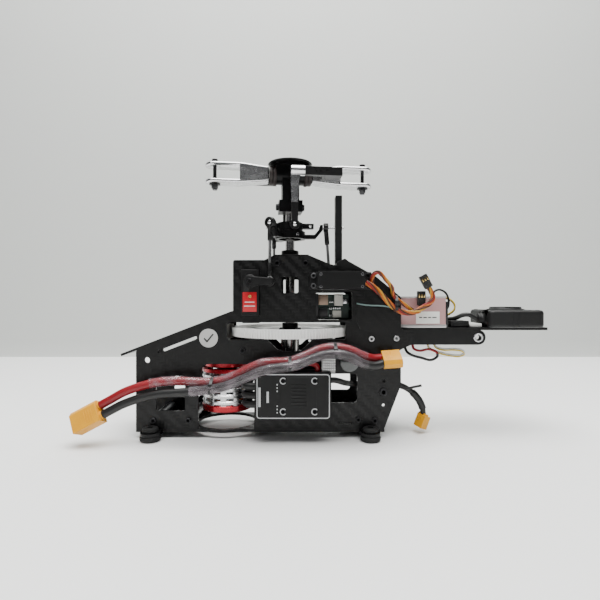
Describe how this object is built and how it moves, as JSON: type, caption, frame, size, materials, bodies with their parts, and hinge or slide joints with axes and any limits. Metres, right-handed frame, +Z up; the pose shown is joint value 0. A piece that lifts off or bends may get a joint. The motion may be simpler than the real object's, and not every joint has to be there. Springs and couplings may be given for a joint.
{
  "type": "remote control helicopter",
  "caption": "Remote control helicopter mechanics with a two-blade rotor head, swashplate, servos, geared motor, side-plate frame and on-board electronics, without blades, canopy or tail boom.",
  "frame": {"origin": "on the ground under the middle of the frame's box, without the free leads and their plugs", "axes": "+X towards the tail, +Y to the side away from the speed controller, +Z up along the main shaft"},
  "size_m": [0.2435, 0.0693, 0.1469],
  "materials": {
    "shaft_steel": "satin",
    "black_alloy": "satin",
    "silver_alloy": "satin",
    "black_screw": "satin",
    "frame_screw": "polished",
    "gear_white": "satin",
    "servo_black": "satin",
    "horn_black": "matt",
    "link_black": "satin",
    "motor_silver": "satin",
    "motor_red": "gloss",
    "pinion_steel": "satin",
    "carbon": "gloss",
    "spacer_grey": "satin",
    "foot_rubber": "matt",
    "controller_black": "matt",
    "box_rose": "matt",
    "board_green": "satin",
    "module_black": "matt",
    "plug_yellow": "satin",
    "lead_red": "satin",
    "lead_black": "satin",
    "servo_wire": "satin"
  },
  "bodies": {
    "frame": {"shaft_bearings": "shaft_steel", "motor_mount": "black_alloy", "bearing_blocks": "black_alloy", "guide_post": "black_alloy", "boom_mount": "black_alloy", "frame_screws": "frame_screw", "servo_left": "servo_black", "servo_right": "servo_black", "servo_rear": "servo_black", "motor_base": "motor_red", "side_plate_left": "carbon", "side_plate_right": "carbon", "battery_tray": "carbon", "bottom_plate": "carbon", "gps_shelf": "carbon", "frame_spacers": "spacer_grey", "rubber_feet": "foot_rubber", "speed_controller": "controller_black", "flight_controller": "box_rose", "receiver": "board_green", "gps_module": "module_black", "battery_plug": "plug_yellow", "spare_plug": "plug_yellow", "tail_plug": "plug_yellow", "battery_lead_red": "lead_red", "battery_lead_black": "lead_black", "tail_lead": "lead_black", "fixed_leads": "lead_black", "box_leads": "lead_black", "servo_plugs": "lead_black", "servo_lead_near": "servo_wire", "servo_lead_far": "servo_wire"},
    "rotor": {"main_shaft": "shaft_steel", "rotor_hub": "black_alloy", "head_button": "black_alloy", "feathering_spindle": "shaft_steel", "rotor_bolts": "black_screw", "shaft_collar": "black_alloy", "main_gear": "gear_white", "gear_hub": "black_alloy", "belt_pulley": "shaft_steel"},
    "motor": {"motor_bell": "motor_silver", "pinion": "pinion_steel"},
    "swash": {"swash_lower_ring": "black_alloy", "swash_uniball": "shaft_steel"},
    "swash_top": {"swash_upper_ring": "black_alloy"},
    "grip_front": {"blade_grip_front": "silver_alloy", "grip_arm_front": "black_alloy", "blade_bolt_front": "black_screw"},
    "grip_rear": {"blade_grip_rear": "silver_alloy", "grip_arm_rear": "black_alloy", "blade_bolt_rear": "black_screw"},
    "drive_front": {"drive_arm_front": "silver_alloy"},
    "drive_rear": {"drive_arm_rear": "silver_alloy"},
    "horn_left": {"servo_horn_left": "horn_black"},
    "horn_right": {"servo_horn_right": "horn_black"},
    "horn_rear": {"servo_horn_rear": "horn_black"},
    "rod_left": {"pushrod_left": "link_black"},
    "rod_right": {"pushrod_right": "link_black"},
    "rod_rear": {"pushrod_rear": "link_black"}
  },
  "joints": [
    {"name": "rotor_spin", "type": "hinge", "parent": "frame", "child": "rotor", "pos_m": [-0.025, 0, 0.06], "axis": [0, 0, 1], "continuous": true},
    {"name": "motor_spin", "type": "hinge", "parent": "frame", "child": "motor", "pos_m": [-0.05962, 0, 0.03], "axis": [0, 0, 1], "continuous": true},
    {"name": "swash_slide", "type": "slide", "parent": "frame", "child": "swash", "axis": [0, 0, 1], "range_m": [-0.0025, 0.0025]},
    {"name": "swash_spin", "type": "hinge", "parent": "swash", "child": "swash_top", "pos_m": [-0.025, 0, 0.111], "axis": [0, 0, 1], "continuous": true},
    {"name": "pitch_rear", "type": "hinge", "parent": "rotor", "child": "grip_rear", "pos_m": [-0.00019, 0.00305, 0.1395], "axis": [0.9925, 0.1219, 0], "range_deg": [-12.5, 12.5]},
    {"name": "pitch_front", "type": "hinge", "parent": "rotor", "child": "grip_front", "pos_m": [-0.04981, -0.00305, 0.1395], "axis": [-0.9925, -0.1219, 0], "range_deg": [-12.5, 12.5]},
    {"name": "link_rear", "type": "hinge", "parent": "grip_rear", "child": "drive_rear", "pos_m": [-0.02062, -0.01105, 0.1395], "axis": [0.9925, 0.1219, 0], "range_deg": [-12.5, 12.5]},
    {"name": "link_front", "type": "hinge", "parent": "grip_front", "child": "drive_front", "pos_m": [-0.02938, 0.01105, 0.1395], "axis": [-0.9925, -0.1219, 0], "range_deg": [-12.5, 12.5]},
    {"name": "horn_left_turn", "type": "hinge", "parent": "frame", "child": "horn_left", "pos_m": [-0.045, -0.0195, 0.0805], "axis": [0, 1, 0], "range_deg": [-14.4, 14.4]},
    {"name": "rod_left_swing", "type": "hinge", "parent": "horn_left", "child": "rod_left", "pos_m": [-0.035, -0.0193, 0.0805], "axis": [0, 1, 0], "range_deg": [-14.4, 14.4]},
    {"name": "horn_right_turn", "type": "hinge", "parent": "frame", "child": "horn_right", "pos_m": [-0.045, 0.0195, 0.0805], "axis": [0, 1, 0], "range_deg": [-14.4, 14.4]},
    {"name": "rod_right_swing", "type": "hinge", "parent": "horn_right", "child": "rod_right", "pos_m": [-0.035, 0.0193, 0.0805], "axis": [0, 1, 0], "range_deg": [-14.4, 14.4]},
    {"name": "horn_rear_turn", "type": "hinge", "parent": "frame", "child": "horn_rear", "pos_m": [0.007, -0.005, 0.0808], "axis": [0, 1, 0], "range_deg": [-14.4, 14.4]},
    {"name": "rod_rear_swing", "type": "hinge", "parent": "horn_rear", "child": "rod_rear", "pos_m": [-0.003, -0.0019, 0.0808], "axis": [0, 1, 0], "range_deg": [-14.4, 14.4]}
  ],
  "couplings": [
    {"joint": "motor_spin", "follows": "rotor_spin", "ratio": -10.5},
    {"joint": "swash_spin", "follows": "rotor_spin", "ratio": 1},
    {"joint": "pitch_rear", "follows": "swash_slide", "rad_per_m": -86.957},
    {"joint": "pitch_front", "follows": "swash_slide", "rad_per_m": -86.957},
    {"joint": "link_rear", "follows": "swash_slide", "rad_per_m": 86.957},
    {"joint": "link_front", "follows": "swash_slide", "rad_per_m": 86.957},
    {"joint": "horn_left_turn", "follows": "swash_slide", "rad_per_m": -100},
    {"joint": "rod_left_swing", "follows": "swash_slide", "rad_per_m": 100},
    {"joint": "horn_right_turn", "follows": "swash_slide", "rad_per_m": -100},
    {"joint": "rod_right_swing", "follows": "swash_slide", "rad_per_m": 100},
    {"joint": "horn_rear_turn", "follows": "swash_slide", "rad_per_m": 100},
    {"joint": "rod_rear_swing", "follows": "swash_slide", "rad_per_m": -100}
  ]
}
